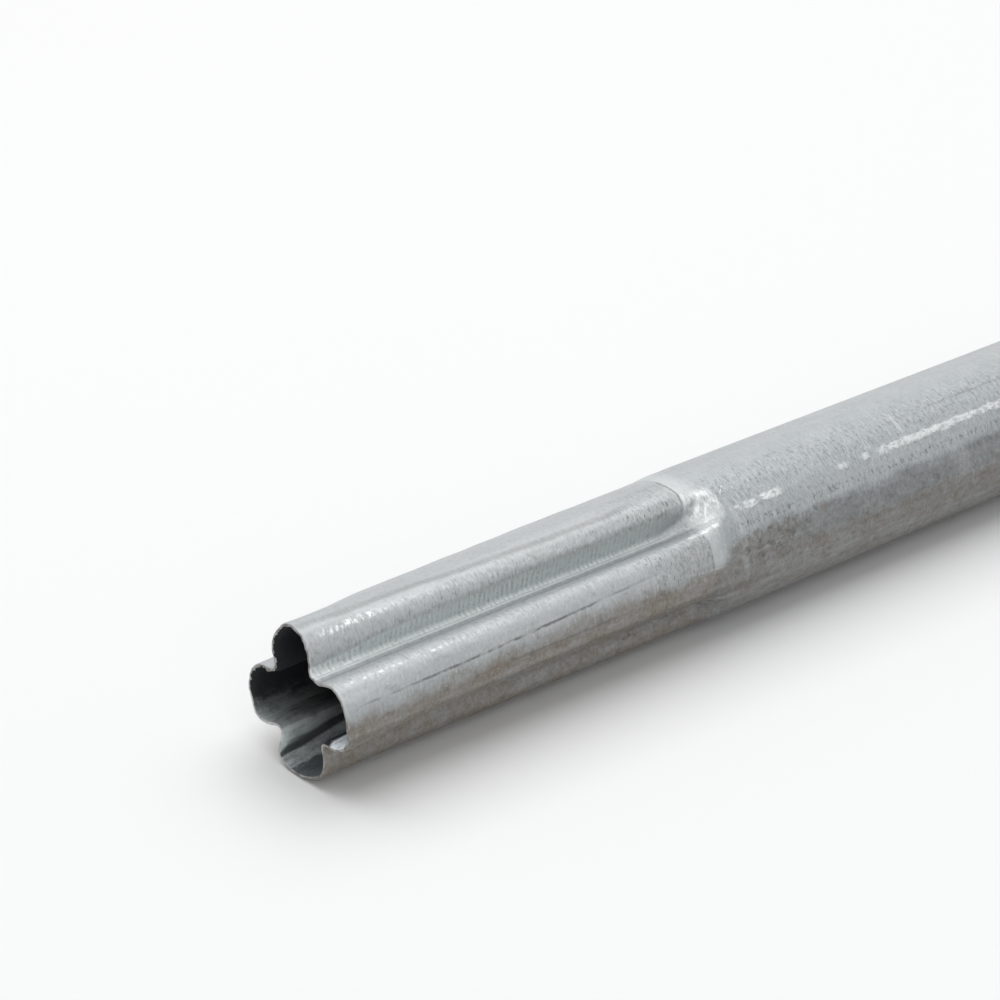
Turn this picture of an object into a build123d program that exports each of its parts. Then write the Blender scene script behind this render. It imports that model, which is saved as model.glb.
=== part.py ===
from build123d import *
from math import cos, radians, sin, tan
import os

os.makedirs("parts", exist_ok=True)

# Galvanized steel post: one round tube, with one end crimped into a fluted spigot that
# slips into the plain end of the next post. It lies on its side, along X, spigot at -X.

# The tube
tube_diameter = 38.0
wall = 1.2
post_length = 1400.0

# The crimped spigot
spigot_clearance = 0.2  # across the spigot's mouth, inside the plain end of the next post
grip_step = 0.9  # what the lobes have lost across the tube where the jaws' grip ends
grip_length = 112.5  # from the mouth to the end of the jaws' grip
runout_length = 10.5  # from there to where the flutes have run out
clamp_step = 0.1  # what the clamp has pressed off the tube's radius, up to that place
flute_count = 4
flute_depth = 8.7  # from the tube's outside to a flute's floor
flute_floor_radius = 1.6
mouth_opening = 76.0  # degrees between a flute's flanks at the mouth
grip_end_opening = 62.0  # the same where the grip ends
mouth_shoulder_radius = 5.5  # between a flank and its lobe, at the mouth
grip_end_shoulder_radius = 4.0  # the same where the grip ends
first_flute_angle = 30.0  # degrees about the tube, from +Y towards +Z

tube_radius = tube_diameter / 2
mouth_diameter = tube_diameter - 2 * wall - spigot_clearance
grip_end_diameter = tube_diameter - grip_step
clamped_radius = tube_radius - clamp_step
mouth_x = -post_length / 2
grip_end_x = mouth_x + grip_length
round_x = grip_end_x + runout_length
round_length = post_length - grip_length - runout_length


def across_tube(x, turn):
    """Plane square to the tube at x, its own x axis turned from +Y towards +Z."""
    angle = radians(turn)
    return Plane(origin=(x, 0, tube_radius), x_dir=(0, cos(angle), sin(angle)), z_dir=(1, 0, 0))


def fluted_face(lobe_diameter, opening, shoulder_radius, inset):
    """Section of the spigot, drawn the given distance inside the outer surface."""
    half_opening = radians(opening / 2)
    floor_radius = flute_floor_radius + inset
    floor_centre = tube_radius - flute_depth + flute_floor_radius
    apex = floor_centre - floor_radius / sin(half_opening)
    reach = lobe_diameter
    spread = reach * tan(half_opening)
    with BuildSketch() as section:
        Circle(lobe_diameter / 2 - inset)
        with PolarLocations(0, flute_count):
            Polygon((apex, 0), (apex + reach, -spread), (apex + reach, spread), align=None, mode=Mode.SUBTRACT)
        apexes = section.vertices().sort_by_distance((0, 0))[:flute_count]
        fillet(apexes, floor_radius)
        shoulders = section.vertices().sort_by_distance((0, 0))[-2 * flute_count :]
        fillet(shoulders, shoulder_radius - inset)
    return section.sketch


def spigot_solid(inset):
    """The spigot as a solid: it widens from mouth to grip end, then its flutes run out."""
    mouth = fluted_face(mouth_diameter, mouth_opening, mouth_shoulder_radius, inset)
    grip_end = fluted_face(grip_end_diameter, grip_end_opening, grip_end_shoulder_radius, inset)
    with BuildPart() as spigot:
        with BuildSketch(across_tube(mouth_x, first_flute_angle)):
            add(mouth)
        with BuildSketch(across_tube(grip_end_x, first_flute_angle)):
            add(grip_end)
        loft(ruled=True)
        with BuildSketch(across_tube(grip_end_x, first_flute_angle)):
            add(grip_end)
        with BuildSketch(across_tube(round_x, first_flute_angle)):
            Circle(clamped_radius - inset)
        loft(ruled=True)
    return spigot.part


spigot_outside = spigot_solid(0)
spigot_inside = spigot_solid(wall)

with BuildPart() as post_tube:
    with BuildSketch(across_tube(round_x, 0)):
        Circle(tube_radius)
    extrude(amount=round_length)
    add(spigot_outside)
    add(spigot_inside, mode=Mode.SUBTRACT)
    with BuildSketch(across_tube(round_x, 0)):
        Circle(tube_radius - wall)
    extrude(amount=round_length, mode=Mode.SUBTRACT)

post_tube.part.label = "post_tube"
export_step(post_tube.part, "parts/post_tube.step")
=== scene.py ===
import math

import bpy
import numpy as np
from mathutils import Matrix, Vector


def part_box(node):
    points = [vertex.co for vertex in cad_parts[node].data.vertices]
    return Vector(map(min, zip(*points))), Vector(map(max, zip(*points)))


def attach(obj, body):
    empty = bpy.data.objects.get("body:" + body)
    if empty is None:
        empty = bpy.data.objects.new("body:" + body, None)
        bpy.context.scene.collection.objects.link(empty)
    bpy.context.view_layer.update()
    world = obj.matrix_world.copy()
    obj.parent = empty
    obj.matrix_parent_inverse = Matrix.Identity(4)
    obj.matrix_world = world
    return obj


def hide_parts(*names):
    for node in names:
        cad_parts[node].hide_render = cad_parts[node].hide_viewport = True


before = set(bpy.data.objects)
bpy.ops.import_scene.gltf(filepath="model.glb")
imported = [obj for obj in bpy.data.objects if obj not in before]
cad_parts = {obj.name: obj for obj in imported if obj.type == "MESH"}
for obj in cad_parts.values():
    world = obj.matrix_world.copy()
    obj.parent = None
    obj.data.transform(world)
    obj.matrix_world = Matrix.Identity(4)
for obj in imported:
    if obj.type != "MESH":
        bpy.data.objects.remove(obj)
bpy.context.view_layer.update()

# Galvanized steel post, lying on its side along X, its fluted spigot at -X. Lengths here
# are millimetres unless a name ends in _m. "Station" is the distance from the spigot's
# mouth, and "turn" is the angle about the tube, in degrees, from -Y up towards +Z.
LOW, HIGH = (np.array(c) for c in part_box("post_tube"))
MOUTH_X_M = float(LOW[0])
POST_LENGTH = float(HIGH[0] - LOW[0]) * 1000
AXIS_Y_M = float(LOW[1] + HIGH[1]) / 2
AXIS_Z_M = float(LOW[2] + HIGH[2]) / 2
TUBE_RADIUS = float(min(HIGH[1] - LOW[1], HIGH[2] - LOW[2])) * 500 - 0.002
WALL = 1.2
EDGE_ROUND = 0.14  # how far the plain end's edges are rounded off

# The crimped spigot
GRIP_END = 112.5  # where the jaws' grip ends
CLAMP_END = 123.0  # where the clamp's faint edge lies
CLAMP_STEP = 0.1
MOUTH_LOBE = 17.8
GRIP_LOBE = 18.55
FLOOR_FILLET = 1.6
FLOOR_REACH = 10.3  # from the axis to a flute's floor
MOUTH_REACH = 30.0  # how far the mouth's own shape carries into the spigot

# Each flute: its turn, its floor's distance from the axis and its flanks' lean from the
# radial line (down side, up side), at the mouth; then the same where the grip ends.
FLUTES = (
    ((-120.0, 10.4, 36.0, 30.0), (-120.0, 10.3, 26.0, 26.0)),
    ((-31.0, 10.6, 36.0, 32.0), (-30.0, 10.3, 26.0, 24.0)),
    ((58.0, 10.3, 38.0, 26.0), (57.5, 10.3, 27.0, 20.0)),
    ((150.0, 10.3, 38.0, 38.0), (150.0, 10.3, 26.0, 26.0)),
)

# The bent and hand-worn outline of the mouth: (turn, radius) around it
MOUTH_OUTLINE = (
    (1, 17.9), (7, 17.8), (13, 17.6), (19, 17.4), (24.5, 17.0), (29, 16.5), (34, 15.9),
    (38.7, 14.9), (43.2, 13.4), (47.7, 11.5), (53, 10.2), (60, 9.8), (65.3, 10.2),
    (69.5, 11.2), (73.5, 12.9), (76.9, 14.3), (80.8, 15.6), (84.7, 16.5), (88.9, 17.4),
    (93.4, 18.0), (98.2, 18.4), (103.1, 18.5), (108.4, 18.15), (114.2, 17.3), (120.3, 16.3),
    (127.4, 15.2), (132.5, 14.1), (136.7, 12.75), (140.3, 11.3), (146, 10.05), (152.5, 9.8),
    (157.7, 10.6), (161.2, 11.9), (164.4, 13.1), (168.1, 14.4), (173.4, 15.6), (178.4, 16.4),
    (184, 17.0), (189.5, 17.5), (195, 17.75), (203, 17.9), (212, 18.0), (216.2, 17.75),
    (220.7, 17.0), (225, 15.7), (229, 14.1), (232.7, 12.5), (238, 11.5), (242.8, 11.5),
    (245.2, 12.6), (246.7, 14.2), (248, 15.9), (249.8, 17.3), (252.5, 18.2), (256.5, 18.6),
    (262, 18.8), (268, 18.85), (276, 18.75), (283, 18.6), (291, 18.3), (298.4, 18.0),
    (304, 17.4), (309.5, 16.25), (313.6, 15.1), (317.7, 13.7), (321, 12.5), (324.5, 11.9),
    (328.5, 12.7), (332.7, 14.1), (337.1, 15.5), (342.2, 16.8), (347.9, 17.7), (354, 18.1),
)
MOUTH_SHOULDER = 5.0
GRIP_SHOULDER = 3.4

POINTS_PER_SPAN = 40  # between a flute's floor and the next lobe's middle
SPAN_SAMPLES = 161  # from which those points are spread evenly
SPANS = 2 * len(FLUTES)
AROUND = POINTS_PER_SPAN * SPANS

# Creases that the jaws left on the two upper lobes: (station, turn) along each
TOP_CREASE = ((0, 95.0), (30, 92.5), (50, 88.2), (70, 85.7), (90, 84.6), (104, 88.0))
SIDE_CREASE = ((0, 17.8), (20, 18.6), (50, 21.0), (65, 22.6), (85, 25.2), (100, 27.2))

# The weld seam's bead along the tube
WELD_TURN = 48.5
WELD_HALF = 3.6
WELD_RISE = 0.04


# Mesh of the tube

def ease(t):
    """Smooth step from 0 to 1."""
    t = np.clip(t, 0.0, 1.0)
    return t * t * (3 - 2 * t)


def bump_at(x, middle, half):
    """Smooth hump of height 1, zero beyond half either side of the middle."""
    return ease(1 - np.abs(x - middle) / half)


class Ripples:
    """Seeded smooth noise of about unit height over (station, turn)."""

    def __init__(self, seed, station_wave, turn_wave, count=10):
        rng = np.random.default_rng(seed)
        self.k = rng.normal(0, 2 * math.pi / station_wave, count)
        self.m = np.round(rng.normal(0, 360 / turn_wave, count))
        self.phase = rng.uniform(0, 2 * math.pi, count)
        self.height = math.sqrt(2 / count)

    def __call__(self, station, turn):
        station = np.asarray(station, float)[..., None]
        turn = np.radians(np.asarray(turn, float))[..., None]
        return self.height * np.sin(self.k * station + self.m * turn + self.phase).sum(-1)


SWELL = Ripples(11, 70, 60)
DIMPLES = Ripples(12, 14, 16)
CRINKLES = Ripples(13, 4.2, 11, count=14)
RIM_WAVES = Ripples(14, 1e6, 40)
RIM_NICKS = Ripples(15, 1e6, 9, count=14)
RIM_BURRS = Ripples(16, 1e6, 5, count=22)


def closed_curve(corners, steps=12):
    """Points of a smooth closed curve through those corners."""
    p = np.array(corners, float)
    before, after, beyond = np.roll(p, 1, 0), np.roll(p, -1, 0), np.roll(p, -2, 0)
    found = []
    for t in np.linspace(0, 1, steps, endpoint=False):
        bend = 2 * before - 5 * p + 4 * after - beyond
        twist = 3 * p - before - 3 * after + beyond
        found.append(p + 0.5 * t * ((after - before) + t * (bend + t * twist)))
    return np.stack(found, 1).reshape(-1, 2)


def mouth_curve():
    """The mouth's outline as turns, rising, and their radii."""
    turn, radius = np.array(MOUTH_OUTLINE).T
    x, y = radius * np.cos(np.radians(turn)), radius * np.sin(np.radians(turn))
    x, y = closed_curve(np.stack([x, y], 1)).T
    turn = np.degrees(np.arctan2(y, x)) % 360
    order = np.argsort(turn)
    return turn[order], np.hypot(x, y)[order]


MOUTH_TURNS, MOUTH_RADII = mouth_curve()


def flute_side(delta, lobe, floor, lean, shoulder):
    """Distance from the axis at delta degrees to one side of a flute's middle."""
    delta = np.radians(delta)
    lean = math.radians(lean)
    centre = floor + FLOOR_FILLET
    apex = centre - FLOOR_FILLET / math.sin(lean)
    along = apex * math.cos(lean) + (centre - apex) * math.cos(lean) ** 2
    touch = np.array([centre, 0.0]) - FLOOR_FILLET * np.array([math.sin(lean), -math.cos(lean)])
    touch_angle = abs(math.atan2(touch[1], touch[0]))
    crest = lean + math.asin((shoulder - apex * math.sin(lean)) / (lobe - shoulder))
    middle = (lobe - shoulder) * np.array([math.cos(crest), math.sin(crest)])
    joint = middle + shoulder * np.array([math.sin(lean), -math.cos(lean)])
    joint_angle = math.atan2(joint[1], joint[0])
    inside = np.clip(FLOOR_FILLET**2 - (centre * np.sin(delta)) ** 2, 0, None)
    bottom = centre * np.cos(delta) - np.sqrt(inside)
    flank = apex * math.sin(lean) / np.sin(np.clip(lean - delta, 1e-3, None))
    off = delta - crest
    over = np.clip(shoulder**2 - ((lobe - shoulder) * np.sin(off)) ** 2, 0, None)
    rounded = (lobe - shoulder) * np.cos(off) + np.sqrt(over)
    out = np.where(delta < touch_angle, bottom, flank)
    out = np.where(delta >= joint_angle, rounded, out)
    return np.where(delta >= crest, lobe, out)


def flute_values(station):
    """The flutes' turns, floors and leans at a station, with the lobe and shoulder sizes."""
    t = min(max(station / GRIP_END, 0.0), 1.0)
    rows = [tuple(a + (b - a) * t for a, b in zip(*f)) for f in FLUTES]
    lobe = MOUTH_LOBE + (GRIP_LOBE - MOUTH_LOBE) * t
    shoulder = MOUTH_SHOULDER + (GRIP_SHOULDER - MOUTH_SHOULDER) * t
    return rows, lobe, shoulder


def fluted_radius(turn, station):
    """Distance of the spigot's outside from the axis, and how deep in a flute it is."""
    rows, lobe, shoulder = flute_values(station)
    out = np.full(turn.shape, lobe)
    for middle, floor, down, up in rows:
        off = (turn - middle + 180) % 360 - 180
        down_side = flute_side(-off, lobe, floor, down, shoulder)
        up_side = flute_side(off, lobe, floor, up, shoulder)
        out = np.minimum(out, np.where(off < 0, down_side, up_side))
    depth = np.clip((lobe - out) / (lobe - FLOOR_REACH), 0, 1)
    mouth = np.interp(turn % 360, MOUTH_TURNS, MOUTH_RADII, period=360)
    bent = (1 - ease(station / MOUTH_REACH)) ** 1.5
    return out + (mouth - out) * bent, depth


def relief(turn, station):
    """Small rises and hollows left by the jaws and by handling."""
    grip = 1 - ease((station - 104) / 8.0)
    out = 0.05 * SWELL(station, turn) + 0.018 * DIMPLES(station, turn) * (0.3 + 0.7 * grip)
    for line, half, drop in ((TOP_CREASE, 5.5, 0.05), (SIDE_CREASE, 1.8, 0.08)):
        at = np.interp(station, [p[0] for p in line], [p[1] for p in line])
        out = out - drop * grip * bump_at(turn, at, half)
    return out * ease(station / 4.0 + 0.2)


def outer_radius(turn, station):
    """Distance of the post's outside from the axis, at turns and one station."""
    out, depth = fluted_radius(turn, min(station, GRIP_END))
    start = GRIP_END - 7.0 * depth
    end = GRIP_END + 5.5 + 4.0 * depth
    t = np.clip((station - start) / (end - start), 0, 1)
    rise = t * (2 - t) * (1 - depth) + t * t * (3 - 2 * t) * depth
    clamped = TUBE_RADIUS - CLAMP_STEP
    out = out + (clamped - out) * rise
    edge = ease((station - CLAMP_END) / 0.7 + 0.5)
    out = out + CLAMP_STEP * edge
    run = bump_at(station, 114.5, 9.5)
    out = out - 0.05 * run * depth**0.5 * (1 - rise * 0.4) * np.abs(CRINKLES(station, turn))
    fade = 1 - ease((station - 112) / 12.0)
    out = out + relief(turn, station) * (0.25 + 0.75 * fade) * (station < CLAMP_END + 30)
    weld = bump_at(turn, WELD_TURN, WELD_HALF) * ease((station - CLAMP_END - 1) / 4.0)
    return np.minimum(out, TUBE_RADIUS) + WELD_RISE * weld


def span_turns(station):
    """The turns of the lobes' middles and the flutes' floors, in order round the tube."""
    rows, _, _ = flute_values(station)
    floors = [row[0] for row in rows]
    floors.append(floors[0] + 360)
    first_lobe = (floors[-2] - 360 + floors[0]) / 2
    out = [first_lobe]
    for a, b in zip(floors[:-1], floors[1:]):
        out += [a, (a + b) / 2]
    return out


def section(station):
    """Points round the post's outside at a station, evenly spread over each span."""
    marks = span_turns(station)
    found = []
    for a, b in zip(marks[:-1], marks[1:]):
        turn = np.linspace(a, b, SPAN_SAMPLES)
        radius = outer_radius(turn, station)
        p = np.stack([radius * np.cos(np.radians(turn)), radius * np.sin(np.radians(turn))], 1)
        run = np.concatenate([[0], np.cumsum(np.hypot(*np.diff(p, axis=0).T))])
        at = np.linspace(0, run[-1], POINTS_PER_SPAN + 1)[:-1]
        found.append(np.stack([np.interp(at, run, p[:, 0]), np.interp(at, run, p[:, 1])], 1))
    return np.concatenate(found)


def inward(points, distance):
    """Those points moved square to the outline, towards the axis."""
    along = np.roll(points, -1, 0) - np.roll(points, 1, 0)
    along /= np.linalg.norm(along, axis=1)[:, None]
    square = np.stack([-along[:, 1], along[:, 0]], 1)
    return points + np.broadcast_to(distance, len(points))[:, None] * square


def in_space(points, stations):
    """Points of one section, placed in the row frame in metres."""
    stations = np.broadcast_to(stations, len(points))
    x = MOUTH_X_M + stations / 1000
    y = AXIS_Y_M - points[:, 0] / 1000
    z = AXIS_Z_M + points[:, 1] / 1000
    return np.stack([x, y, z], 1)


def outer_stations():
    """Where the outside has a ring of points: close together where the form changes."""
    near = np.arange(1.2, 103.0, 1.2)
    run = np.arange(103.0, 126.0, 0.55)
    body = np.linspace(127.0, POST_LENGTH - 0.3, 52)
    return np.concatenate([[0.22], near, run, body])


def inner_stations():
    """The same for the inside, from the plain end back to the mouth."""
    near = np.arange(3.0, 103.0, 2.5)
    run = np.arange(103.0, 126.0, 1.15)
    body = np.linspace(130.0, POST_LENGTH - 0.3, 26)
    return np.concatenate([[0.3, 0.8, 1.6], near, run, body])[::-1]


def tube_rings():
    """Rings of points over the outside, across the plain end, back inside, and the mouth's rim."""
    turns = np.degrees(np.arctan2(*section(0.0).T[::-1]))
    cut = 0.1 + 0.09 * RIM_WAVES(0.0, turns) + 0.05 * RIM_NICKS(0.0, turns)
    cut = np.clip(cut, 0.0, 0.4)
    burrs = 0.34 * np.clip(RIM_BURRS(0.0, turns), -0.8, 1.6) * bump_at(turns % 360, 150, 75)
    rings = [("edge", in_space(inward(section(0.0), 0.2), cut))]
    for s in outer_stations():
        lift = cut * max(0.0, 1 - s / 3.0)
        rings.append(("zinc", in_space(section(s), s + lift)))
    far = section(POST_LENGTH)
    rings.append(("zinc", in_space(inward(far, EDGE_ROUND), POST_LENGTH)))
    rings.append(("edge", in_space(inward(far, WALL - EDGE_ROUND), POST_LENGTH)))
    for s in inner_stations():
        lift = cut * max(0.0, 1 - s / 3.0)
        broken = 1 - ease(s / 1.6)
        rings.append(("bore", in_space(inward(section(s), WALL - (0.4 - burrs) * broken), s + lift)))
    rings.append(("bore", in_space(inward(section(0.0), WALL - 0.45 + burrs), cut)))
    return rings


def smooth_mesh(name, points, faces):
    """A new object of that mesh, shaded smooth."""
    mesh = bpy.data.meshes.new(name)
    mesh.from_pydata([tuple(p) for p in points], [], faces)
    mesh.update()
    for polygon in mesh.polygons:
        polygon.use_smooth = True
    piece = bpy.data.objects.new(name, mesh)
    bpy.context.collection.objects.link(piece)
    return piece


def tube(finishes):
    """The post: one closed tube, with its outside, its cut ends and its bore."""
    rings = tube_rings()
    points = np.concatenate([ring for _, ring in rings])
    faces = []
    kinds = []
    for i in range(len(rings)):
        j = (i + 1) % len(rings)
        kind = rings[j][0]
        a, b = i * AROUND, j * AROUND
        for k in range(AROUND):
            n = (k + 1) % AROUND
            faces.append((a + k, a + n, b + n, b + k))
            kinds.append(kind)
    piece = smooth_mesh("post_tube_crimped", points, faces)
    order = list(finishes)
    for kind in order:
        piece.data.materials.append(finishes[kind])
    for polygon, kind in zip(piece.data.polygons, kinds):
        polygon.material_index = order.index(kind)
    return piece


# Node helpers

class Field:
    """A number that varies over the surface, with arithmetic that makes Math nodes."""

    def __init__(self, tree, socket):
        self.tree = tree
        self.socket = socket

    def math_node(self, operation, other=None, swap=False):
        node = self.tree.nodes.new("ShaderNodeMath")
        node.operation = operation
        first, second = (1, 0) if swap else (0, 1)
        self.tree.links.new(self.socket, node.inputs[first])
        if isinstance(other, Field):
            self.tree.links.new(other.socket, node.inputs[second])
        elif other is not None:
            node.inputs[second].default_value = other
        return Field(self.tree, node.outputs[0])

    def __add__(self, other):
        return self.math_node("ADD", other)

    def __sub__(self, other):
        return self.math_node("SUBTRACT", other)

    def __mul__(self, other):
        return self.math_node("MULTIPLY", other)

    def __truediv__(self, other):
        return self.math_node("DIVIDE", other)

    def __rsub__(self, other):
        return self.math_node("SUBTRACT", other, swap=True)

    __radd__ = __add__

    def size(self):
        return self.math_node("ABSOLUTE")

    def least(self, other):
        return self.math_node("MINIMUM", other)

    def most(self, other):
        return self.math_node("MAXIMUM", other)

    def step(self, low, high, to_low=0.0, to_high=1.0):
        """Smooth step: to_low where this is at low, to_high where it is at high."""
        node = self.tree.nodes.new("ShaderNodeMapRange")
        node.interpolation_type = "SMOOTHSTEP"
        self.tree.links.new(self.socket, node.inputs["Value"])
        node.inputs["From Min"].default_value = low
        node.inputs["From Max"].default_value = high
        node.inputs["To Min"].default_value = to_low
        node.inputs["To Max"].default_value = to_high
        return Field(self.tree, node.outputs["Result"])

    def near(self, middle, half, soft):
        """1 within half of the middle, falling to 0 over soft beyond it."""
        return (self - middle).size().step(half + soft, half)

    def along(self, points):
        """This put through a curve of (in, out) points, straight between them."""
        low, high = points[0][0], points[-1][0]
        outs = [p[1] for p in points]
        bottom, top = min(outs), max(outs)
        node = self.tree.nodes.new("ShaderNodeFloatCurve")
        curve = node.mapping.curves[0]
        scaled = [((x - low) / (high - low), (y - bottom) / (top - bottom)) for x, y in points]
        curve.points[0].location = scaled[0]
        curve.points[1].location = scaled[-1]
        for p in scaled[1:-1]:
            curve.points.new(*p)
        for p in curve.points:
            p.handle_type = "VECTOR"
        node.mapping.update()
        unit = (self - low) * (1 / (high - low))
        self.tree.links.new(unit.socket, node.inputs["Value"])
        return Field(self.tree, node.outputs[0]) * (top - bottom) + bottom


class Surface:
    """The node tree of one material, with the post's own coordinates in millimetres."""

    def __init__(self, name):
        self.material = bpy.data.materials.new(name)
        self.material.use_nodes = True
        self.tree = self.material.node_tree
        self.shader = next(n for n in self.tree.nodes if n.type == "BSDF_PRINCIPLED")
        place = self.tree.nodes.new("ShaderNodeTexCoord")
        split = self.tree.nodes.new("ShaderNodeSeparateXYZ")
        self.tree.links.new(place.outputs["Object"], split.inputs[0])
        x, y, z = (Field(self.tree, split.outputs[i]) for i in range(3))
        self.station = (x - MOUTH_X_M) * 1000
        self.side = (y - AXIS_Y_M) * -1000
        self.height = (z - AXIS_Z_M) * 1000
        angle = self.height.math_node("ARCTAN2", self.side)
        self.turn = angle * math.degrees(1)

    def noise(self, station, across, detail=2.0, rough=0.5, lean=0.0, seed=0.0):
        """Noise whose grains are about station mm long and across mm wide round the tube."""
        join = self.tree.nodes.new("ShaderNodeCombineXYZ")
        place = self.station / station
        if lean:
            place = place + (self.height - self.side) * (lean / station)
        parts = (place + seed, self.side / across + seed, self.height / across)
        for part, socket in zip(parts, join.inputs):
            self.tree.links.new(part.socket, socket)
        node = self.tree.nodes.new("ShaderNodeTexNoise")
        node.inputs["Scale"].default_value = 1.0
        node.inputs["Detail"].default_value = detail
        node.inputs["Roughness"].default_value = rough
        self.tree.links.new(join.outputs[0], node.inputs["Vector"])
        return Field(self.tree, node.outputs["Fac"])

    def mix(self, amount, first, second):
        """Colour between first and second, each a colour or a colour socket."""
        node = self.tree.nodes.new("ShaderNodeMix")
        node.data_type = "RGBA"
        self.tree.links.new(amount.socket, node.inputs[0])
        for value, socket in ((first, node.inputs[6]), (second, node.inputs[7])):
            if isinstance(value, tuple):
                socket.default_value = (*value, 1.0)
            else:
                self.tree.links.new(value, socket)
        return node.outputs[2]

    def set(self, name, field):
        """Lead a field to one of the shader's inputs."""
        self.tree.links.new(field.socket, self.shader.inputs[name])

    def bump(self, height, distance_m, strength):
        """Let the shading follow small rises, of that distance for a height of 1."""
        node = self.tree.nodes.new("ShaderNodeBump")
        node.inputs["Strength"].default_value = strength
        node.inputs["Distance"].default_value = distance_m
        self.tree.links.new(height.socket, node.inputs["Height"])
        self.tree.links.new(node.outputs[0], self.shader.inputs["Normal"])


# Finishes

ZINC_LIGHT = (0.480, 0.500, 0.508)
ZINC_BLUE = (0.320, 0.348, 0.358)
ZINC_DARK = (0.14, 0.145, 0.145)
ZINC_BRIGHT = (0.78, 0.80, 0.80)
ZINC_GREEN = (0.76, 0.82, 0.805)
# Colours of the lower side, its stains and painted shade together
GREY_STAIN_AND_SHADE = (0.165, 0.150, 0.137)
WARM_STAIN_AND_SHADE = (0.19, 0.150, 0.110)
COOL_STAIN_AND_SHADE = (0.172, 0.176, 0.176)
RUST = (0.30, 0.17, 0.08)
ZINC_GLINT = (0.97, 0.98, 0.98)
ZINC_SPRAY = (0.88, 0.90, 0.90)
CREASE_GREY = (0.235, 0.235, 0.232)
PRESSED_GREY = (0.24, 0.25, 0.25)
CLUMP_GREY = (0.10, 0.095, 0.09)
LOBE_SHADE = (0.085, 0.07, 0.055)
BORE_DARK = (0.030, 0.032, 0.035)
BORE_LIT = (0.66, 0.715, 0.715)
BORE_LIGHT_CATCH = (0.88, 0.93, 0.97)
BORE_DARK_PATCH = (0.055, 0.062, 0.07)
BORE_SPECK = (0.03, 0.033, 0.036)
CUT_DARK = (0.17, 0.155, 0.145)
CUT_LIGHT = (0.60, 0.61, 0.61)
CUT_BURR = (0.16, 0.15, 0.14)

# Painted shade by turn: how far the zinc leans from light to blue, on the body and on the spigot
BODY_SHADE_BY_TURN = (
    (-180, 0.4), (-120, 0.6), (-60, 0.9), (-30, 0.8), (20, 0.8), (34, 0.55), (44, 0.5),
    (60, 0.5), (85, 0.38), (100, 0.2), (150, 0.15), (180, 0.4),
)
SPIGOT_SHADE_BY_TURN = (
    (-180, 0.4), (-120, 0.6), (-60, 0.9), (-20, 0.8), (12, 0.62), (24, 0.05), (34, 0.05),
    (46, 0.2), (56, 0.2), (66, 0.0), (72, 0.0), (82, 0.05), (95, 0.25), (110, 0.1),
    (150, 0.2), (180, 0.4),
)
# The turn at which the lower side's stains and painted shade begin, by station
STAIN_AND_SHADE_EDGE = (
    (0, 9), (25, 10), (45, 15), (80, 15), (110, 11), (115, 14), (120, 23), (124.5, 28),
    (240, 28.5), (1400, 28),
)
# The line of painted highlight beads along the upper lobe's shoulder: (station, turn)
GLINT_LINE = ((0, 85), (22, 82.3), (40, 78), (60, 75.5), (90, 73), (112, 73))

# Painted highlights in strokes on the zinc crinkled at the grip's end: station, half width, turn,
# half length, lean in mm per degree, and how bright
GRIP_GLINTS = (
    (113.2, 0.6, 72.0, 6.0, 0.03, 0.45), (116.3, 0.7, 66.0, 8.0, 0.13, 0.95),
    (119.2, 0.7, 67.0, 5.0, 0.05, 0.85), (117.5, 0.3, 60.0, 8.0, 0.16, 0.7),
    (120.6, 0.25, 60.0, 5.0, 0.12, 0.5), (123.2, 0.25, 66.0, 4.5, 0.36, 0.55),
    (116.6, 1.6, 51.5, 2.2, 0.0, 0.40), (109.5, 1.6, 42.2, 1.2, 0.0, 0.6),
    (113.6, 1.6, 42.4, 1.5, 0.0, 0.85), (116.4, 1.1, 43.4, 1.7, 0.0, 0.65),
)

# Lone pieces of the zinc spray along the weld seam: station, half length, how bright
WELD_PIECES = (
    (128.0, 0.4, 0.8), (130.2, 0.6, 0.9), (136.3, 2.4, 1.0), (162.0, 1.0, 0.6), (170.5, 0.8, 0.6),
)


class Marks:
    """The noises that the zinc's marks share, and the relief that they add up to."""

    def __init__(self, f):
        self.ticks = f.noise(0.60, 1.8, detail=3.0, rough=0.6)
        self.fine_ticks = f.noise(0.32, 1.1, detail=2.0, rough=0.6, seed=17.0)
        self.bands = f.noise(90.0, 1.7, detail=2.0, rough=0.5, seed=5.0)
        self.clouds = f.noise(9.0, 6.0, detail=4.0, rough=0.6, seed=31.0)
        self.blots = f.noise(2.6, 1.9, detail=3.0, rough=0.6, seed=35.0)
        self.speckle = f.noise(1.0, 1.0, detail=3.0, rough=0.65, seed=37.0)
        self.grain = f.noise(0.42, 0.42, detail=3.0, rough=0.7, seed=3.0)
        self.on_spigot = f.station.step(GRIP_END + 0.6, GRIP_END - 0.2)
        self.on_body = f.station.step(CLAMP_END - 4.5, CLAMP_END - 1.0)
        self.flank = f.turn.near(64.0, 4.2, 1.8) * f.station.step(112, 102)
        self.calm = f.turn.step(92, 70, 0.2, 1.0) * (1 - self.flank * 0.75)
        self.stain_and_shade = None
        self.relief = (self.grain - 0.5) * 0.4


def patch(f, station, half_station, turn, half_turn, soft=0.5):
    """1 inside a box of stations and turns, softly 0 outside."""
    along = f.station.near(station, half_station, half_station * soft + 0.2)
    return along * f.turn.near(turn, half_turn, half_turn * soft + 0.2)


def tone_and_painted_shade(f, m):
    """Painted shade by turn, light zinc above and bluish towards the side, in faint lengthwise bands."""
    body = f.turn.along(BODY_SHADE_BY_TURN)
    tone = body + (f.turn.along(SPIGOT_SHADE_BY_TURN) - body) * m.on_spigot
    tone = tone + (m.bands - 0.5) * 0.45 + (m.clouds - 0.5) * 0.5
    return f.mix(tone.most(0.0).least(1.0), ZINC_LIGHT, ZINC_BLUE)


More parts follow.
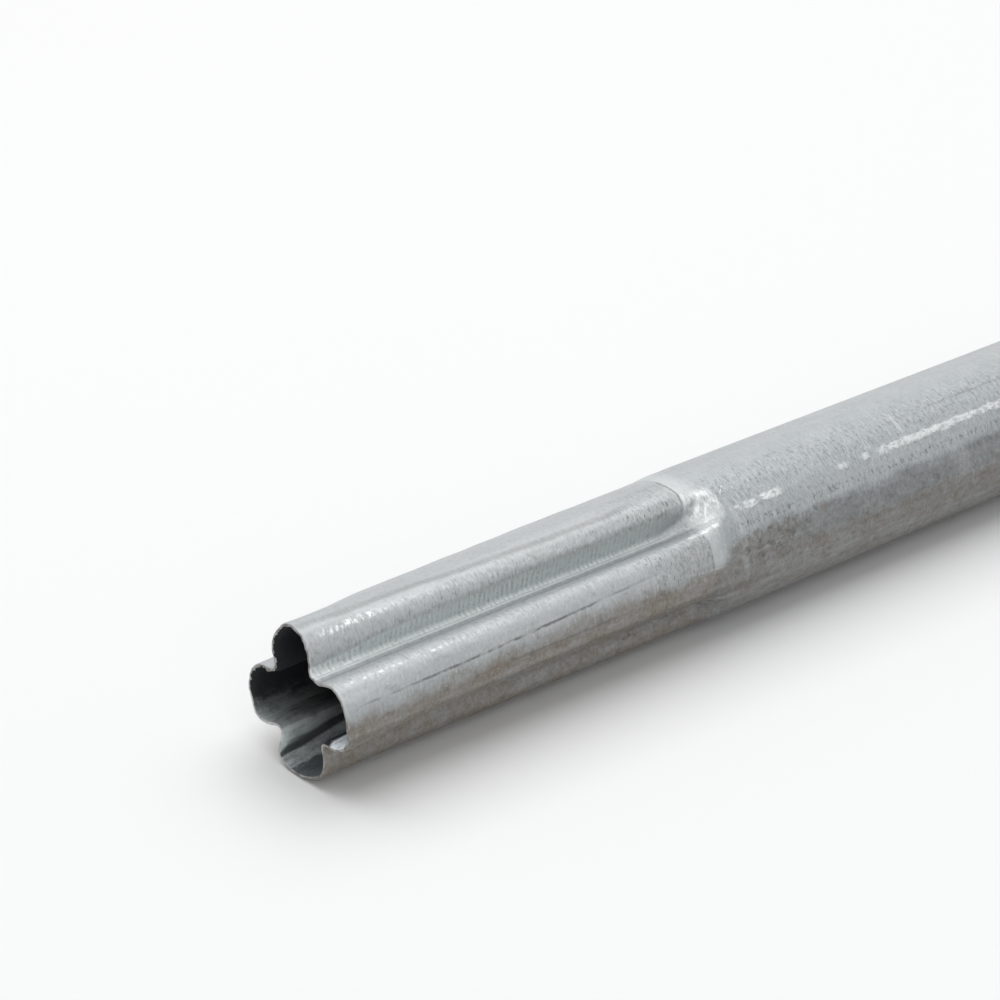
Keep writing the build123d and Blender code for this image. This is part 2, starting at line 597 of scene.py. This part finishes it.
def lower_stain_and_shade(f, m, colour):
    """The mottled brown-grey of the lower side: rust and mottled stains, with painted shade and a painted
    reflection of brown ground.
    """
    edge = f.station.along(STAIN_AND_SHADE_EDGE) + (m.ticks - 0.5) * 3.0 + (m.clouds - 0.5) * 16.0
    reach = 5.0 + m.on_spigot * 4.0
    below = ((edge - f.turn) / reach).step(-1.0, 1.0)
    far_side = (f.turn + 150 + (m.clouds - 0.5) * 40 + (m.bands - 0.5) * 30).step(-22, 14)
    # Where the lower side's stains and painted shade lie
    m.stain_and_shade = below * far_side
    mottle = (
        -0.03 + (m.bands - 0.5) * 0.5 + (m.speckle - 0.5) * 0.8
        + (m.clouds - 0.5) * 0.6 + (m.blots - 0.5) * 0.7
    )
    warm = (m.on_spigot * 0.6 + (m.clouds - 0.5) * 1.5 + 0.2).most(0.0).least(1.0)
    shade = f.mix(warm, GREY_STAIN_AND_SHADE, WARM_STAIN_AND_SHADE)
    cool = (f.turn + (m.clouds - 0.5) * 20).step(2, 16) * f.station.step(128, 150)
    shade = f.mix(cool, shade, COOL_STAIN_AND_SHADE)
    colour = f.mix((m.stain_and_shade * (0.72 + mottle)).most(0.0).least(0.97), colour, shade)
    rust = f.noise(2.2, 1.6, detail=2.0, seed=39.0).step(0.64, 0.76)
    colour = f.mix(rust * m.stain_and_shade * 0.30, colour, RUST)
    # Painted shade along the lower lobe's edge
    lobe_edge_shade = f.turn.near(-9.0, 2.5, 4.0) * f.station.step(15, 60, 0.35, 1.0) * f.station.step(135, 112)
    return f.mix(lobe_edge_shade * 0.5, colour, LOBE_SHADE)


def marks_across(f, m, colour):
    """Dark ticks in rows, light ticks and specks, as the zinc set and was handled."""
    s, a = f.station, f.turn
    clean = 1 - m.stain_and_shade * 0.7
    zone = (
        a.near(60, 16, 14) * 0.55
        + a.near(36, 1.6, 2.0) * m.on_body * 0.7
        + a.near(27, 2, 4) * m.on_body * 0.7
    )
    zone = zone + a.near(84, 12, 6) * s.near(104, 8, 4) * m.on_spigot * 0.7
    zone = zone + a.near(26, 13, 5) * s.near(103, 9, 8) * m.on_spigot * 0.9 + 0.20
    zone = (zone + a.near(145, 16, 14) * 0.35) * (1 - m.flank * 0.6)
    dark = m.ticks.step(0.53, 0.70) * 0.5 + m.fine_ticks.step(0.54, 0.72) * 0.4
    colour = f.mix((dark * zone * clean).least(1.0), colour, ZINC_DARK)
    sway = f.noise(7.0, 2.5, detail=1.0, seed=91.0)
    rows = ((s / 1.95 + sway * 1.3) * (2 * math.pi)).math_node("SINE").step(0.1, 0.95)
    rows = rows * f.noise(2.4, 0.9, detail=2.0, seed=93.0).step(0.46, 0.62)
    row_zone = a.near(66, 8, 6) * 0.28 + a.near(36, 1.4, 1.2) * 0.6 + a.near(26.5, 1.0, 1.5) * 0.6 + 0.06
    colour = f.mix((rows * row_zone * m.on_body * clean).least(1.0), colour, ZINC_DARK)
    light = m.ticks.step(0.46, 0.30) * (m.clouds * 0.6 - 0.06).most(0.05) * clean * m.calm
    light = light + m.grain.step(0.46, 0.30) * 0.12
    colour = f.mix(light, colour, ZINC_BRIGHT)
    blots = m.blots.step(0.56, 0.72) * (a.step(75, 35) * 0.22 + m.stain_and_shade * 0.22)
    colour = f.mix((m.speckle.step(0.52, 0.72) * 0.20 + blots).least(1.0), colour, ZINC_DARK)
    pits = ((m.ticks - 0.5) + (m.fine_ticks - 0.5) * 0.5) * clean * m.calm
    m.relief = m.relief + pits - rows * row_zone * 0.6
    return colour


def flank_marks(f, m, colour):
    """The hatched flank of the upper flute, its painted dark shade band above, a painted gleam and shadow
    line, and rows of painted highlight beads.
    """
    s, a = f.station, f.turn
    slant = s + (a - 64) * 0.08 + f.noise(12.0, 14.0, detail=1.0, seed=23.0) * 3.0
    hatch = (slant * (2 * math.pi / 1.45)).math_node("SINE")
    flank = m.flank * m.on_spigot
    broken = f.noise(1.5, 0.8, detail=2.0, seed=25.0).step(0.40, 0.62)
    broken = broken * f.noise(9.0, 3.0, detail=1.0, seed=26.0).step(0.25, 0.60, 0.4, 1.0)
    broken = broken * s.step(60, 105, 1.0, 0.6)
    colour = f.mix(flank * 0.6, colour, ZINC_GREEN)
    colour = f.mix(flank * hatch.step(-0.2, 0.9) * broken * 0.66, colour, ZINC_BRIGHT)
    colour = f.mix(flank * hatch.step(0.2, -0.8) * broken * 0.33, colour, ZINC_DARK)
    dabs = f.noise(1.5, 1.4, detail=2.0, seed=24.0).step(0.56, 0.70)
    colour = f.mix(flank * dabs * 0.20, colour, ZINC_DARK)
    # Painted shade: a dark band along the flank's upper edge
    band = a.near(69.6, 0.8, 2.2) * s.step(10, 80, 0.2, 0.7) * s.step(112, 106) * m.on_spigot
    colour = f.mix(band * (0.35 + (m.ticks - 0.5) * 1.2).most(0.0), colour, ZINC_DARK)
    # A painted gleam and a painted shadow line below the flank
    gleam = a.near(56.0, 0.6, 1.6) * s.step(114, 104) * 0.45
    colour = f.mix(gleam * (0.4 + m.ticks), colour, ZINC_BRIGHT)
    shadow = a.near(48.6, 0.5, 1.2) * s.step(110, 96) * m.on_spigot * 0.35
    colour = f.mix(shadow, colour, ZINC_DARK)
    # Painted highlights: rows of bright beads along the upper shoulder and a lower row at turn 36.6
    swayed = s * (2 * math.pi / 1.85) + f.noise(6.0, 3.0, detail=1.0, seed=27.0) * 7.0
    beads = swayed.math_node("SINE").step(-0.9, 1.0)
    dashes = f.noise(0.75, 1.5, detail=2.0, rough=0.55, seed=30.0).step(0.44, 0.60)
    lumpy = f.noise(2.4, 1.3, detail=3.0, rough=0.6, seed=29.0).step(0.36, 0.62)
    line = a - s.along(GLINT_LINE) + (f.noise(4.0, 4.0, detail=1.0, seed=28.0) - 0.5) * 5.0
    upper = line.near(0.0, 0.2, 3.6) * s.step(2, 9) * (s.step(26, 14) * 1.2 + 0.28)
    lower = (a - 36.6 + (lumpy - 0.5) * 1.0).near(0.0, 0.1, 1.6) * s.step(1, 3) * s.step(52, 25) * 0.9
    glint = (upper * dashes * (lumpy * 0.6 + 0.4) + lower * (beads * 0.8 + 0.2) * lumpy * 0.7) * m.on_spigot
    colour = f.mix(glint.least(0.85), colour, ZINC_GLINT)
    return colour


def jaw_lines(f, m, colour):
    """The soft crease on the top lobe and the fine dark line along the side lobe."""
    s, a = f.station, f.turn
    ragged = (0.65 + (m.ticks - 0.5) * 1.2 + (m.clouds - 0.5) * 0.8).most(0.0)
    top = (a - s.along(TOP_CREASE) + (m.clouds - 0.5) * 3.0).near(0.0, 0.6, 4.6) * s.step(112, 92) * 0.62
    colour = f.mix((top * (ragged * 0.6 + 0.4)).least(1.0), colour, CREASE_GREY)
    wander = (f.noise(9.0, 6.0, detail=2.0, seed=43.0) - 0.5) * 1.6 + (m.speckle - 0.5) * 1.0
    side = (a - s.along(SIDE_CREASE) + wander).near(0.0, 0.4, 1.1) * s.step(2, 9) * s.step(104, 78)
    side = side * s.near(47, 18, 18).step(0, 1, 0.55, 1.0)
    side = side * f.noise(4.0, 2.0, detail=3.0, rough=0.6, seed=41.0).step(0.30, 0.60) * 0.85
    colour = f.mix(side, colour, ZINC_DARK)
    under = (a - 6.6).near(0.0, 0.3, 0.9) * s.near(66, 12, 10) * 0.5
    colour = f.mix(under, colour, ZINC_DARK)
    corner = (a - s.along(((0, 24), (94, 20), (112, 12.5), (1400, 12.5)))).near(0.0, 0.5, 0.7)
    corner = corner * s.near(108, 4, 6) * m.speckle.step(0.36, 0.56) * 0.3
    colour = f.mix(corner, colour, ZINC_BRIGHT)
    m.relief = m.relief - side * 1.2
    return colour


def grip_marks(f, m, colour):
    """Where the jaws' grip ends: its edge, the light ramp and painted highlights on the crinkled zinc."""
    s, a = f.station, f.turn
    sides = a.step(6, 20)
    edge = (s + (m.speckle - 0.5) * 0.5).near(112.35, 0.1, 0.3)
    edge = edge * (a.near(86, 14, 2.5) * 0.5 + a.near(24, 11, 2) * 0.25)
    colour = f.mix(edge, colour, ZINC_DARK)
    pressed = s.step(92, 108) * s.step(112.6, 112.2) * (a.near(27, 12, 2) * 0.75 + a.near(80, 16, 5) * 0.3)
    mottle = (0.35 + (m.speckle - 0.5) * 1.6 + (m.blots - 0.5)).most(0.0)
    colour = f.mix(pressed * mottle, colour, PRESSED_GREY)
    uneven = s + (m.clouds - 0.5) * 6.0
    ramp = s.step(112.4, 113.0) * uneven.step(120.0, 114.0) * sides * (0.4 + m.clouds)
    colour = f.mix((ramp * 0.34).least(1.0), colour, ZINC_BRIGHT)
    colour = f.mix(uneven.near(122.6, 0.7, 1.2) * a.near(13, 7, 6) * 0.25, colour, ZINC_BLUE)
    colour = f.mix(s.near(123.0, 0.5, 0.7) * a.near(30, 25, 10) * 0.12, colour, ZINC_BRIGHT)
    rough_edge = (m.blots - 0.5) * 5.0 + (m.speckle - 0.5) * 2.0
    # Painted highlights in strokes on the crinkled zinc
    strokes = s * 0.0
    for station, half, turn, half_turn, lean, amount in GRIP_GLINTS:
        across = (s - station - (a - turn) * lean + rough_edge * 0.22).near(0.0, half * 0.4, half * 0.9)
        along = (a - turn + rough_edge).near(0.0, half_turn * 0.6, half_turn * 0.6)
        strokes = strokes.most(across * along * amount)
    strokes = strokes * m.blots.step(0.36, 0.54, 0.35, 1.0) * m.fine_ticks.step(0.36, 0.50, 0.5, 1.0)
    fine = f.noise(0.7, 1.7, detail=2.0, rough=0.55, lean=0.15, seed=51.0).step(0.46, 0.60)
    fine = fine * a.near(65, 6, 5) * s.near(117.2, 2.4, 1.8) * 0.6
    strokes = strokes.most(fine)
    colour = f.mix(strokes, colour, ZINC_GLINT)
    colour = f.mix(a.near(62, 10, 6) * s.near(117.6, 2.2, 2.4) * 0.3, colour, ZINC_BRIGHT)
    gap = (s - 114.7 - (a - 67) * 0.08).near(0.0, 0.2, 0.8) * a.near(67, 4, 3) * 0.2
    colour = f.mix(gap, colour, ZINC_DARK)
    clumps = f.noise(2.2, 1.9, detail=3.0, rough=0.6, seed=53.0).step(0.50, 0.62)
    clumps = clumps * s.near(132.0, 8.0, 3.5) * a.near(18, 9, 4)
    colour = f.mix(clumps * 0.6, colour, CLUMP_GREY)
    return colour


def weld_spray(f, m, colour):
    """The zinc spray along the weld seam, broken near the spigot, and a few lone marks."""
    s, a = f.station, f.turn
    broken = f.noise(1.6, 1.0, detail=3.0, rough=0.6, seed=61.0)
    lumps = f.noise(4.0, 3.0, detail=2.0, rough=0.6, seed=63.0)
    along = s + (broken - 0.5) * 4.0 + (lumps - 0.5) * 4.0
    pieces = along.near(125.2, 0.4, 0.9) * 0.75
    for middle, half, amount in WELD_PIECES:
        pieces = pieces.most(along.near(middle, half, half * 0.5 + 0.9) * amount)
    pieces = pieces.most(along.step(173.0, 179.0) * 0.85)
    across = (a - WELD_TURN - 0.6 + (lumps - 0.5) * 6.0 + (broken - 0.5) * 3.0).near(0.0, 1.5, 2.4)
    weld = across * pieces * (broken.step(0.34, 0.56) * 0.7 + 0.3)
    colour = f.mix(weld * 0.72, colour, ZINC_SPRAY)
    lone = patch(f, 186, 0.4, 65, 7) * 0.4 + patch(f, 203, 1.6, 17, 7) * 0.14
    colour = f.mix(lone * m.ticks.step(0.35, 0.6), colour, ZINC_BRIGHT)
    streak = patch(f, 213, 12, 69, 0.7) * 0.4
    colour = f.mix(streak * m.fine_ticks.step(0.35, 0.6), colour, ZINC_DARK)
    m.relief = m.relief + weld * (0.6 + broken * 1.2)
    return colour


def zinc_finish():
    """The galvanized outside."""
    f = Surface("galvanized_steel")
    m = Marks(f)
    colour = tone_and_painted_shade(f, m)
    for add_marks in (lower_stain_and_shade, marks_across, flank_marks, jaw_lines, grip_marks, weld_spray):
        colour = add_marks(f, m, colour)
    f.tree.links.new(colour, f.shader.inputs["Base Color"])
    f.shader.inputs["Metallic"].default_value = 0.42
    rough = 0.54 + (m.clouds - 0.5) * 0.25 + (m.ticks - 0.5) * 0.3 + m.stain_and_shade * 0.08 - m.on_spigot * 0.05
    f.set("Roughness", rough.most(0.32).least(0.85))
    f.bump(m.relief, 0.00018, 0.9)
    return f.material


def bore_finish():
    """Inside of the tube: dull zinc, dark above and deep inside, lit below and at both ends."""
    f = Surface("galvanized_steel_bore")
    streaks = f.noise(30.0, 1.6, detail=3.0, rough=0.6, seed=71.0)
    clouds = f.noise(5.0, 3.0, detail=4.0, rough=0.6, seed=73.0)
    grain = f.noise(0.6, 0.6, detail=2.0, seed=75.0)
    below = (f.height + (clouds - 0.5) * 9.0).step(-6.0, -11.5)
    lit = below * (0.55 + f.turn.near(-112, 3.5, 3) * 0.42 + (streaks - 0.5) * 0.9 + (clouds - 0.5) * 1.5)
    deep = f.station.step(27.0, 2.0, 0.08, 1.0).most(f.height.step(-10.0, -13.0) * f.station.step(80.0, 16.0))
    shaded = f.turn.near(-107.0, 0.7, 1.2) * f.station.step(118.0, 90.0)
    open_end = f.station.step(POST_LENGTH - 70.0, POST_LENGTH - 4.0)
    open_end = open_end * (0.34 + (streaks - 0.5) * 0.5 + (clouds - 0.5) * 0.5)
    amount = (lit * deep * (1 - shaded * 0.85)).most(open_end).most(0.0).least(1.0)
    colour = f.mix(amount, BORE_DARK, BORE_LIT)
    # A painted patch of light just inside the mouth's rim
    light_catch = f.turn.near(-13.0, 12.0, 3.0) * f.station.step(17.0, 7.0) * streaks.step(0.36, 0.50, 0.35, 1.1)
    colour = f.mix((light_catch * 0.95).least(1.0), colour, BORE_LIGHT_CATCH)
    # A darker patch low in the bore near the mouth
    dark_patch = (f.turn + (clouds - 0.5) * 26.0).near(-76.0, 15.0, 4.0) * f.station.step(34, 12)
    colour = f.mix(dark_patch * 0.85, colour, BORE_DARK_PATCH)
    colour = f.mix(grain.step(0.52, 0.78) * 0.35, colour, BORE_SPECK)
    f.tree.links.new(colour, f.shader.inputs["Base Color"])
    f.shader.inputs["Metallic"].default_value = 0.15
    f.shader.inputs["Specular IOR Level"].default_value = 0.2
    f.set("Roughness", 0.72 + (clouds - 0.5) * 0.3)
    f.bump((grain - 0.5) + (clouds - 0.5), 0.00015, 0.7)
    return f.material


def cut_finish():
    """Sawn ends: dull steel with fine burrs, with painted light making them brighter on the left and below.
    """
    f = Surface("galvanized_steel_cut")
    grain = f.noise(0.3, 0.3, detail=2.0, seed=81.0)
    patches = f.noise(2.0, 2.0, detail=3.0, seed=83.0)
    # Painted light on the left and lower parts of the cut faces
    bright = f.side.step(2.0, -6.0) * f.height.step(4.0, -8.0)
    amount = patches.step(0.35, 0.65) * 0.5 + bright * 0.5
    colour = f.mix(amount, CUT_DARK, CUT_LIGHT)
    colour = f.mix(grain.step(0.6, 0.8) * 0.4, colour, CUT_BURR)
    f.tree.links.new(colour, f.shader.inputs["Base Color"])
    f.shader.inputs["Metallic"].default_value = 0.4
    f.set("Roughness", 0.5 + (grain - 0.5) * 0.3)
    f.bump(grain, 0.0001, 0.8)
    return f.material


def seen_straight(tree):
    """1 for what the camera, a reflection or a clear surface looks at, 0 for other rays."""
    path = tree.nodes.new("ShaderNodeLightPath")
    rays = ("Is Camera Ray", "Is Glossy Ray", "Is Transmission Ray")
    camera_ray, glossy_ray, clear_ray = (Field(tree, path.outputs[name]) for name in rays)
    return camera_ray.most(glossy_ray).most(clear_ray)


def floor_finish():
    """Plain pale floor, which the camera and reflections see evenly white far from the post."""
    material = bpy.data.materials.new("floor")
    material.use_nodes = True
    tree = material.node_tree
    shader = next(n for n in tree.nodes if n.type == "BSDF_PRINCIPLED")
    out = next(n for n in tree.nodes if n.type == "OUTPUT_MATERIAL")
    noise = tree.nodes.new("ShaderNodeTexNoise")
    noise.inputs["Scale"].default_value = 9.0
    shade = tree.nodes.new("ShaderNodeMix")
    shade.data_type = "RGBA"
    shade.inputs[6].default_value = (0.93, 0.93, 0.93, 1)
    shade.inputs[7].default_value = (0.95, 0.95, 0.945, 1)
    tree.links.new(noise.outputs["Fac"], shade.inputs[0])
    tree.links.new(shade.outputs[2], shader.inputs["Base Color"])
    shader.inputs["Roughness"].default_value = 0.9
    shader.inputs["Specular IOR Level"].default_value = 0.1

    place = tree.nodes.new("ShaderNodeTexCoord")
    split = tree.nodes.new("ShaderNodeSeparateXYZ")
    tree.links.new(place.outputs["Object"], split.inputs[0])
    x, y = (Field(tree, split.outputs[i]) for i in (0, 1))
    beside = (x.size() - 0.7).most(0.0)
    far = (beside * beside + y * y).math_node("SQRT").step(0.15, 0.60)
    white = tree.nodes.new("ShaderNodeEmission")
    white.inputs["Color"].default_value = (1, 1, 1, 1)
    white.inputs["Strength"].default_value = 0.97
    both = tree.nodes.new("ShaderNodeMixShader")
    tree.links.new((far * seen_straight(tree)).socket, both.inputs[0])
    tree.links.new(shader.outputs[0], both.inputs[1])
    tree.links.new(white.outputs[0], both.inputs[2])
    tree.links.new(both.outputs[0], out.inputs["Surface"])
    return material


# Floor, light and camera

def floor():
    """A wide floor just under the post."""
    size = 12.0
    piece = smooth_mesh(
        "floor",
        [(-size, -size, 0), (size, -size, 0), (size, size, 0), (-size, size, 0)],
        [(0, 1, 2, 3)],
    )
    piece.location.z = -0.0002
    piece.data.materials.append(floor_finish())


def area_light(name, place, target, size, size_y, power):
    """A rectangular lamp at place, aimed at target."""
    lamp = bpy.data.lights.new(name, "AREA")
    lamp.shape = "RECTANGLE"
    lamp.size, lamp.size_y = size, size_y
    lamp.energy = power
    piece = bpy.data.objects.new(name, lamp)
    piece.location = place
    aim = Vector(target) - Vector(place)
    piece.rotation_euler = aim.to_track_quat("-Z", "Y").to_euler()
    bpy.context.collection.objects.link(piece)


def light():
    """A broad soft lamp overhead, a weak one in front, and a sky that is white where it is seen."""
    area_light("key_lamp", (-0.3, 0.55, 2.3), (-0.3, 0.0, 0.0), 3.6, 3.0, 52)
    area_light("front_lamp", (-1.6, -1.6, 1.6), (-0.3, 0.0, 0.0), 1.6, 1.6, 6)
    world = bpy.data.worlds.new("sky")
    bpy.context.scene.world = world
    world.use_nodes = True
    tree = world.node_tree
    sky = next(n for n in tree.nodes if n.type == "BACKGROUND")
    out = next(n for n in tree.nodes if n.type == "OUTPUT_WORLD")
    sky.inputs["Color"].default_value = (0.97, 0.985, 1.0, 1)
    sky.inputs["Strength"].default_value = 0.42
    white = tree.nodes.new("ShaderNodeBackground")
    white.inputs["Color"].default_value = (0.98, 0.98, 0.98, 1)
    both = tree.nodes.new("ShaderNodeMixShader")
    tree.links.new(seen_straight(tree).socket, both.inputs[0])
    tree.links.new(sky.outputs[0], both.inputs[1])
    tree.links.new(white.outputs[0], both.inputs[2])
    tree.links.new(both.outputs[0], out.inputs["Surface"])


def camera():
    """The photograph's viewing angle."""
    lens = bpy.data.cameras.new("camera")
    lens.lens = 115.2
    lens.sensor_width = 36.0
    lens.clip_start = 0.01
    piece = bpy.data.objects.new("camera", lens)
    bpy.context.collection.objects.link(piece)
    right = Vector((0.74103476, -0.66914504, 0.05578892))
    up = Vector((0.27696903, 0.38029556, 0.88241909))
    back = right.cross(up)
    place = Matrix((right, up, back)).transposed().to_4x4()
    place.translation = Vector((-1.0850669, -0.46236576, 0.38942482))
    piece.matrix_world = place
    bpy.context.scene.camera = piece


def main():
    finishes = {"zinc": zinc_finish(), "edge": cut_finish(), "bore": bore_finish()}
    post = tube(finishes)
    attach(post, "root")
    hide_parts("post_tube")
    floor()
    light()
    camera()
    bpy.context.scene.view_settings.view_transform = "Standard"


main()
